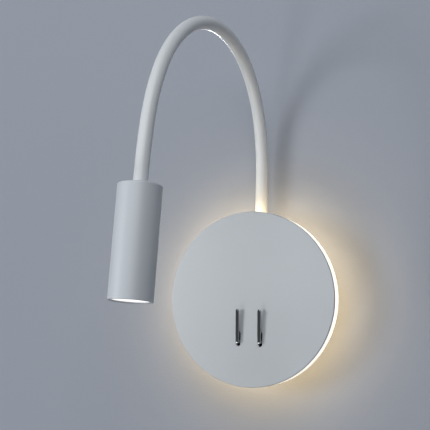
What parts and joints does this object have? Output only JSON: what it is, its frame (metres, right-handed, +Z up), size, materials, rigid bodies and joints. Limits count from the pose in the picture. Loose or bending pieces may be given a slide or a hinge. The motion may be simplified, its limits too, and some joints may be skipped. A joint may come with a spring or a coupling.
{
  "type": "wall reading lamp",
  "caption": "Round wall base with a halo light ring and two tip switches, and a gooseneck that carries a cylinder spot head.",
  "frame": {"origin": "middle of the two wall screw slots, on the wall plane", "axes": "+Y into the wall, +X to the right as seen from the room, +Z up"},
  "size_m": [0.14, 0.2188, 0.2796],
  "materials": {
    "white_painted_steel": "matte",
    "white_painted_aluminium": "matte",
    "zinc_plated_steel": "satin",
    "steel_hose": "satin",
    "white_silicone": "matte",
    "chrome": "polished",
    "opal_plastic": "satin",
    "light_chip": "gloss",
    "black_nylon": "matte",
    "white_plastic": "satin",
    "circuit_board": "satin",
    "light_board": "satin",
    "brass": "satin",
    "bare_aluminium": "satin"
  },
  "bodies": {
    "base": {"wall_bracket": "zinc_plated_steel", "rear_housing": "white_painted_steel", "front_panel": "white_painted_steel", "panel_nuts": "zinc_plated_steel", "ring_light_board": "light_board", "ring_light_chips": "light_chip", "diffuser_ring": "opal_plastic", "side_screws": "white_painted_steel", "driver_case": "black_nylon", "driver_cover": "black_nylon", "driver_board": "circuit_board", "terminal_block": "white_plastic", "terminal_screws": "brass", "switch_blades": "brass", "switch_screws": "zinc_plated_steel", "switch_body_left": "black_nylon", "switch_body_right": "black_nylon", "lever_pin_left": "zinc_plated_steel", "lever_pin_right": "zinc_plated_steel", "neck_socket": "zinc_plated_steel", "neck_washer": "zinc_plated_steel", "neck_nut": "zinc_plated_steel", "neck_hose_0": "steel_hose", "neck_sleeve_0": "white_silicone"},
    "neck_link_1": {"neck_hose_1": "steel_hose", "neck_sleeve_1": "white_silicone"},
    "neck_link_2": {"neck_hose_2": "steel_hose", "neck_sleeve_2": "white_silicone"},
    "neck_link_3": {"neck_hose_3": "steel_hose", "neck_sleeve_3": "white_silicone"},
    "neck_link_4": {"neck_hose_4": "steel_hose", "neck_sleeve_4": "white_silicone"},
    "neck_link_5": {"neck_hose_5": "steel_hose", "neck_sleeve_5": "white_silicone"},
    "neck_link_6": {"neck_hose_6": "steel_hose", "neck_sleeve_6": "white_silicone"},
    "neck_link_7": {"neck_hose_7": "steel_hose", "neck_sleeve_7": "white_silicone"},
    "head": {"neck_hose_8": "steel_hose", "neck_sleeve_8": "white_silicone", "neck_end_fitting": "white_painted_aluminium", "head_shell": "white_painted_aluminium", "head_washer": "zinc_plated_steel", "head_nut": "zinc_plated_steel", "heat_sink": "bare_aluminium", "led_board": "light_board", "led_emitter": "light_chip", "board_screws": "zinc_plated_steel", "reflector": "white_plastic", "lens": "opal_plastic", "bezel": "white_painted_aluminium"},
    "lever_left": {"switch_lever_left": "chrome"},
    "lever_right": {"switch_lever_right": "chrome"}
  },
  "joints": [
    {"name": "neck_bend_1", "type": "hinge", "parent": "base", "child": "neck_link_1", "pos_m": [0, -0.0135, 0.09861], "axis": [0.9978, -0.0663, 0], "range_deg": [-8, 12], "deforming": ["neck_sleeve_0", "neck_sleeve_1"]},
    {"name": "neck_swing_2", "type": "hinge", "parent": "neck_link_1", "child": "neck_link_2", "pos_m": [-0.00036, -0.01895, 0.14014], "axis": [-0.064, -0.9638, -0.2588], "range_deg": [-30, 30], "deforming": ["neck_sleeve_1", "neck_sleeve_2"]},
    {"name": "neck_bend_3", "type": "hinge", "parent": "neck_link_2", "child": "neck_link_3", "pos_m": [-0.00165, -0.03831, 0.177], "axis": [0.9978, -0.0663, 0], "range_deg": [-35, 10], "deforming": ["neck_sleeve_2", "neck_sleeve_3"]},
    {"name": "neck_bend_4", "type": "hinge", "parent": "neck_link_3", "child": "neck_link_4", "pos_m": [-0.00392, -0.07254, 0.20036], "axis": [0.9978, -0.0663, 0], "range_deg": [-35, 10], "deforming": ["neck_sleeve_3", "neck_sleeve_4"]},
    {"name": "neck_swing_5", "type": "hinge", "parent": "neck_link_4", "child": "neck_link_5", "pos_m": [-0.00667, -0.11386, 0.20289], "axis": [-0.0138, -0.2075, 0.9781], "range_deg": [-30, 30], "deforming": ["neck_sleeve_4", "neck_sleeve_5"]},
    {"name": "neck_bend_6", "type": "hinge", "parent": "neck_link_5", "child": "neck_link_6", "pos_m": [-0.00915, -0.15125, 0.18482], "axis": [0.9978, -0.0663, 0], "range_deg": [-35, 10], "deforming": ["neck_sleeve_5", "neck_sleeve_6"]},
    {"name": "neck_bend_7", "type": "hinge", "parent": "neck_link_6", "child": "neck_link_7", "pos_m": [-0.01088, -0.17726, 0.15227], "axis": [0.9978, -0.0663, 0], "range_deg": [-35, 12], "deforming": ["neck_sleeve_6", "neck_sleeve_7"]},
    {"name": "neck_swing_8", "type": "hinge", "parent": "neck_link_7", "child": "head", "pos_m": [-0.01178, -0.19079, 0.11267], "axis": [-0.0651, -0.9798, 0.1891], "range_deg": [-30, 30], "deforming": ["neck_sleeve_7", "neck_sleeve_8"]},
    {"name": "switch_left_tip", "type": "hinge", "parent": "base", "child": "lever_left", "pos_m": [-0.00935, -0.0275, -0.0335], "axis": [1, 0, 0], "range_deg": [0, 14]},
    {"name": "switch_right_tip", "type": "hinge", "parent": "base", "child": "lever_right", "pos_m": [0.00935, -0.0275, -0.0335], "axis": [1, 0, 0], "range_deg": [0, 14]}
  ]
}
